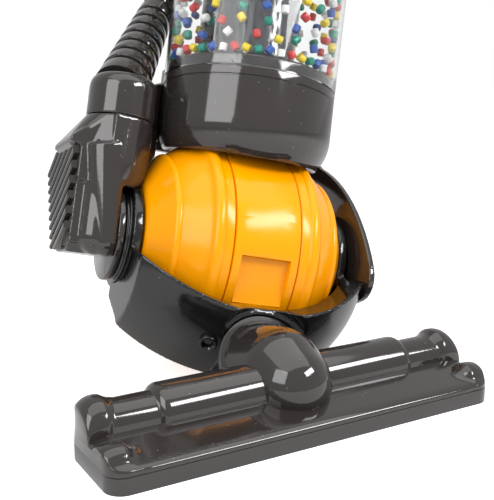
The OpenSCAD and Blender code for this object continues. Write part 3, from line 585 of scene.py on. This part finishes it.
# Rotor and its motor: a white disc with low vanes under the centre tube that throws the pellets round.
# The disc is moulded in matt white plastic and pressed onto the shaft of a motor in a steel can.
white_moulding = finish("white_moulding", (0.8, 0.8, 0.77), rough=0.35)
motor_can = finish("motor_can", (0.62, 0.62, 0.62), rough=0.35, cloud=0.12, metal=1)
paint("swirl_rotor", white_moulding)
paint("swirl_motor", motor_can)


# Pellets: short rods with rounded ends in five colours, loose in the bin.
# Cut from soft dyed plastic, a little uneven in tone.
PELLET_SHADES = {"red": (0.62, 0.03, 0.025), "yellow": (0.82, 0.63, 0.02), "green": (0.0, 0.27, 0.19),
                 "blue": (0.03, 0.1, 0.42), "white": (0.82, 0.82, 0.8)}
for colour, shade in PELLET_SHADES.items():
    heap = crisp(f"pellets_{colour}", f"pellet_heap_{colour}", edge=0.5)
    dyed = finish(f"pellet_{colour}", shade, rough=0.32, cloud=0.3)
    settle(heap, dyed, "upright", f"pellet_{colour}", f"pellets_{colour}")


# Cap of the bin with its release button and the half ring to carry it by.
# Cap and ring are glossy dark mouldings, and the sprung button is black.
settle(crisp("bin_cap", "bin_cap_skin", edge=0.5), dark_moulding, "upright", "dark", "bin_cap")
button = soft("release_button", "release_button_skin", voxel=0.3, rounds=6)
settle(button, black_moulding, "release_button", "black", "release_button")
carry_ring = soft("carry_handle", "carry_handle_skin", voxel=0.6, rounds=14)
settle(carry_ring, dark_moulding, "upright", "dark", "carry_handle")


# Spine: the channel that stands behind the bin and carries the wand, and the clamp at its head.
# The channel is a glossy dark moulding, open to the back. The clamp is black and holds the wand.
settle(crisp("spine", "spine_skin", edge=0.8), dark_moulding, "upright", "dark", "spine")
clamp = soft("wand_clamp", "wand_clamp_skin", voxel=0.5, rounds=8)
settle(clamp, black_moulding, "upright", "black", "wand_clamp")


# Side housing: a box with a round shoulder and column, a hood over the vent and a web towards the cup.
# A glossy dark moulding, melted into one, that stands on the left cheek beside the ball.
# Its added forms are hulls over balls, (x, y, z, radius) in mm from the ball's centre.
ROOF, ROOF_Y, SHOULDER_X, SHOULDER_R, HOOD_X, HOOD_R = 62.9, -8, -75.6, 19, -76, 18.5
SHOULDER_BALLS = ((-77.5, -11, 38, 17.6), (-77.5, -11.5, 33, 16.4), (-60, -10, ROOF - 3, 3),
                  (-61, -12, 30, 3), (-56, 4, ROOF - 3, 3))
HOOD_BALLS = ((-100, -14, 46.5, 4), (-100, 20, 46.5, 4), (-80, -20, 50, 5), (-80, 22, 50, 5))
WEB_BALLS = ((-62, 0, 66, 4), (-62, 2, 84, 3.5), (-50, 6, 66, 4), (-46, 14, 92, 3.5),
             (-54, 20, 57, 4), (-47, 26, 60, 4))
COLUMN_BALLS = ((-82.5, -14.5, 40, 11), (-83, -15.3, -4, 10.4), (-83, -10, -2, 10))
WHEEL_ROOM, CUP_ROOM, HUB_ROOM, HUB_SPAN = 69.6, 51.5, 31.5, 147.5
YOKE_ROOM = ((-73.7, -100, -150), (100, 100, 24.6))


def swept(name, balls, *discs):
    """The hull over balls and discs of the upright."""
    parts = [disc(radius, 72, shift(x, y, z)) for x, y, z, radius in discs]
    parts += [ball(radius, 48, 32, shift(x, y, z)) for x, y, z, radius in balls]
    hull(name, parts)
    return put(upright)


def rod(radius, depth, place):
    """A plain round cutter along the local Z of a place, in mm."""
    bpy.ops.object.select_all(action="DESELECT")
    bpy.ops.mesh.primitive_cylinder_add(vertices=128, radius=radius * MM, depth=depth * MM)
    return put(place)


def block(low, high, place):
    """A plain box between two corners, in mm."""
    bpy.ops.object.select_all(action="DESELECT")
    bpy.ops.mesh.primitive_cube_add(size=1)
    made = bpy.context.object
    made.scale = [(b - a) * MM for a, b in zip(low, high)]
    made.location = [(a + b) / 2 * MM for a, b in zip(low, high)]
    bpy.ops.object.transform_apply()
    return put(place)


added = [swept("shoulder", SHOULDER_BALLS, (SHOULDER_X, ROOF_Y, ROOF, SHOULDER_R)),
         swept("hood", HOOD_BALLS, (HOOD_X, ROOF_Y, ROOF, HOOD_R)),
         swept("web", WEB_BALLS),
         swept("column", COLUMN_BALLS)]
for part in added:
    cut_by(part, ball(WHEEL_ROOM, 96, 64, upright))
    cut_by(part, rod(CUP_ROOM, 300, bin_axis))
    cut_by(part, rod(HUB_ROOM, HUB_SPAN, upright @ turn("Y", 90)))
    cut_by(part, block(*YOKE_ROOM, upright))
housing = joined(cad_copy("vent_housing", "vent_housing_skin"), *added)
settle(melt(housing, voxel=0.7, rounds=12), dark_moulding, "upright", "dark", "vent_housing")


# Vent: a framed grille with a raised slanted blade on each slat, whose front ends stand out like teeth.
# Glossy dark plastic, set in the housing's side. A white fan turns behind it on its own motor.
SLATS, SLAT_PITCH, SLAT_LEAN, BLADE_EDGE = 10, 7, -32, 1.1
BLADE_LOW, BLADE_HIGH, BLADE_HALF, BLADE_IN, BLADE_OUT = -1.9, 1.6, 60, 1.5, -3.6
VENT_X, VENT_Y, VENT_Z = -98, 14, 18
VENT_FRAME = [(-17.2, -9), (-13, -13.2), (13.4, -13.2), (55.5, 40.8), (55.5, 45), (-17.2, 45)]
FRAME_OUT, FRAME_IN = -110, -90


def prism(outline, low, high, place):
    """Extrudes an outline of the YZ plane between two places on X, in mm."""
    bpy.ops.object.select_all(action="DESELECT")
    bpy.ops.mesh.primitive_circle_add(vertices=len(outline), radius=MM, fill_type="NGON")
    for vert, (y, z) in zip(bpy.context.object.data.vertices, outline):
        vert.co = (low * MM, y * MM, z * MM)
    open_mesh()
    bpy.ops.mesh.extrude_region_move(TRANSFORM_OT_translate={"value": ((high - low) * MM, 0, 0)})
    bpy.ops.mesh.select_all(action="SELECT")
    bpy.ops.mesh.normals_make_consistent(inside=False)
    close_mesh()
    return put(place)


slant = upright @ shift(VENT_X, VENT_Y, VENT_Z) @ turn("X", SLAT_LEAN)
blades = []
for row in range(SLATS):
    off = (row - (SLATS - 1) / 2) * SLAT_PITCH
    blade = block((BLADE_OUT, -BLADE_HALF, off + BLADE_LOW), (BLADE_IN, BLADE_HALF, off + BLADE_HIGH), slant)
    open_mesh()
    bpy.ops.mesh.bevel(offset=BLADE_EDGE * MM, segments=3, affect="EDGES")
    close_mesh()
    blades.append(cut_by(blade, prism(VENT_FRAME, FRAME_OUT, FRAME_IN, upright), "INTERSECT"))
grille = joined(crisp("vent_grille", "vent_grille_skin", edge=0.4), *blades)
bpy.ops.object.shade_smooth_by_angle(angle=radians(35))
settle(grille, dark_moulding, "upright", "dark", "vent_grille")
paint("fan", white_moulding)
paint("fan_motor", motor_can)


# Collar and hose: a rounded collar on the housing and a short hose with wide ribs and narrow deep grooves.
# Both are dark and glossy. The hose stands in the collar, narrows upwards and ends at the wand.
HOSE_FROM, HOSE_TO = Vector((-76.5, -4, 82)), Vector((-49, 40, 144))
HOSE_LOW_R, HOSE_TOP_R, HOSE_RIBS, HOSE_GROOVE, HOSE_WALL = 15.5, 10.8, 7, 2.4, 4
RIB_STEPS = ((0.05, -1.2), (0.5, -0.3), (HOSE_GROOVE, 0.35), (HOSE_GROOVE, 1.5), (0.6, 2.1), (0.1, 2.9))
collar = soft("hose_collar", "hose_collar_skin", voxel=0.6, rounds=10)
settle(collar, dark_moulding, "upright", "dark", "hose_collar")
run = HOSE_TO - HOSE_FROM
hose_len = run.length
hose_line = [(HOSE_LOW_R - HOSE_WALL, 0), (HOSE_LOW_R, 0)]
for rib in range(1, HOSE_RIBS + 1):
    start = rib * hose_len / (HOSE_RIBS + 1)
    edge_r = HOSE_LOW_R + (HOSE_TOP_R - HOSE_LOW_R) * start / hose_len
    hose_line += [(edge_r - deep, start + ahead) for deep, ahead in RIB_STEPS]
hose_line += [(HOSE_TOP_R, hose_len), (HOSE_TOP_R - HOSE_WALL, hose_len)]
heading, tilt = degrees(atan2(run.y, run.x)), degrees(acos(run.z / hose_len))
hose_place = upright @ shift(*HOSE_FROM) @ turn("Z", heading) @ turn("Y", tilt)
settle(turned("hose_skin", hose_line, hose_place, 96), dark_moulding, "upright", "dark", "hose")


# Wand and handle: a slanted tube with a loop grip and a thumb switch.
# Tube and loop are glossy dark mouldings. The red switch slides in the grip.
red_moulding = finish("red_moulding", (0.5, 0.02, 0.02), rough=0.2, coat=0.5)
settle(crisp("wand", "wand_skin", edge=0.4), dark_moulding, "upright", "dark", "wand")
settle(soft("grip", "grip_skin", voxel=0.8, rounds=10), dark_moulding, "upright", "dark", "grip")
switch = crisp("power_switch", "power_switch_skin", edge=0.8, steps=3)
settle(switch, red_moulding, "power_switch", "red", "power_switch")


# Studio: a pale floor that glows for the camera alone, under a plain white sky.
# The sky is bright where it is seen straight or through the bin, and dimmer as light or in reflections.
# Three soft boxes light the object, and the camera stands where the photograph was taken.
FLOOR_SIZE, FLOOR_TONE, FLOOR_ROUGH, FLOOR_GLOW = 12, (0.8, 0.8, 0.8, 1), 0.9, 0.72
WHITE, SKY_SEEN, SKY_MIRRORED, SKY_LIGHT = (1, 1, 1, 1), 1.0, 0.6, 0.5
LAMP_TARGET = Vector((0.0, 0.08, 0.1))
CAMERA_SPOT, CAMERA_LENS, CAMERA_SENSOR, CAMERA_NEAR = (-0.22168, -0.33189, 0.17025), 61.77, 36, 0.02
CAMERA_RIGHT = Vector((0.8633, -0.5047, -0.0024))
CAMERA_UP = Vector((0.1033, 0.172, 0.9797))
CAMERA_BACK = Vector((-0.4941, -0.846, 0.2006))
bpy.ops.object.select_all(action="DESELECT")
bpy.ops.mesh.primitive_plane_add(size=FLOOR_SIZE)
floor = bpy.context.object
floor.name = "studio_floor"
pale = bpy.data.materials.new("pale_floor")
pale.use_nodes = True
pale_nodes, pale_links = pale.node_tree.nodes, pale.node_tree.links
pale_shader = pale_nodes["Principled BSDF"]
set_inputs(pale_shader, {"Base Color": FLOOR_TONE, "Roughness": FLOOR_ROUGH, "Emission Color": WHITE})
floor_rays = pale_nodes.new("ShaderNodeLightPath")
glow = pale_nodes.new("ShaderNodeMath")
glow.operation = "MULTIPLY"
glow.inputs[1].default_value = FLOOR_GLOW
pale_links.new(floor_rays.outputs["Is Camera Ray"], glow.inputs[0])
pale_links.new(glow.outputs[0], pale_shader.inputs["Emission Strength"])
floor.data.materials.append(pale)

world = bpy.data.worlds.new("studio")
bpy.context.scene.world = world
world.use_nodes = True
sky_nodes, sky_links = world.node_tree.nodes, world.node_tree.links
sky = sky_nodes["Background"]
sky_rays = sky_nodes.new("ShaderNodeLightPath")
straight = sky_nodes.new("ShaderNodeMath")
straight.operation = "MAXIMUM"
dimmed = sky_nodes.new("ShaderNodeMapRange")
level = sky_nodes.new("ShaderNodeMapRange")
set_inputs(sky, {"Color": WHITE})
set_inputs(dimmed, {"To Min": SKY_LIGHT, "To Max": SKY_MIRRORED})
set_inputs(level, {"To Max": SKY_SEEN})
sky_links.new(sky_rays.outputs["Is Camera Ray"], straight.inputs[0])
sky_links.new(sky_rays.outputs["Is Transmission Ray"], straight.inputs[1])
sky_links.new(sky_rays.outputs["Is Glossy Ray"], dimmed.inputs["Value"])
sky_links.new(dimmed.outputs["Result"], level.inputs["To Min"])
sky_links.new(straight.outputs[0], level.inputs["Value"])
sky_links.new(level.outputs["Result"], sky.inputs["Strength"])


def soft_box(name, spot, width, height, watts):
    """A rectangular lamp that looks at the middle of the object, in metres."""
    lamp = bpy.data.lights.new(name, "AREA")
    lamp.shape, lamp.size, lamp.size_y, lamp.energy = "RECTANGLE", width, height, watts
    holder = bpy.data.objects.new(name, lamp)
    bpy.context.collection.objects.link(holder)
    holder.location = spot
    holder.rotation_euler = (LAMP_TARGET - Vector(spot)).to_track_quat("-Z", "Y").to_euler()


soft_box("box_left", (-0.7, -0.24, 0.56), width=0.6, height=0.56, watts=4.2)
soft_box("box_over", (0.0, -0.1, 1.1), width=1.6, height=0.9, watts=6)
soft_box("box_rolls", (0.47, -0.6, 0.62), width=0.5, height=0.2, watts=6)

camera = bpy.data.objects.new("camera", bpy.data.cameras.new("camera"))
bpy.context.collection.objects.link(camera)
camera_turn = Matrix((CAMERA_RIGHT, CAMERA_UP, CAMERA_BACK)).transposed().to_4x4()
camera.matrix_world = Matrix.Translation(CAMERA_SPOT) @ camera_turn
camera.data.lens = CAMERA_LENS
camera.data.sensor_width = CAMERA_SENSOR
camera.data.clip_start = CAMERA_NEAR
bpy.context.scene.camera = camera
bpy.context.scene.view_settings.view_transform = "Standard"
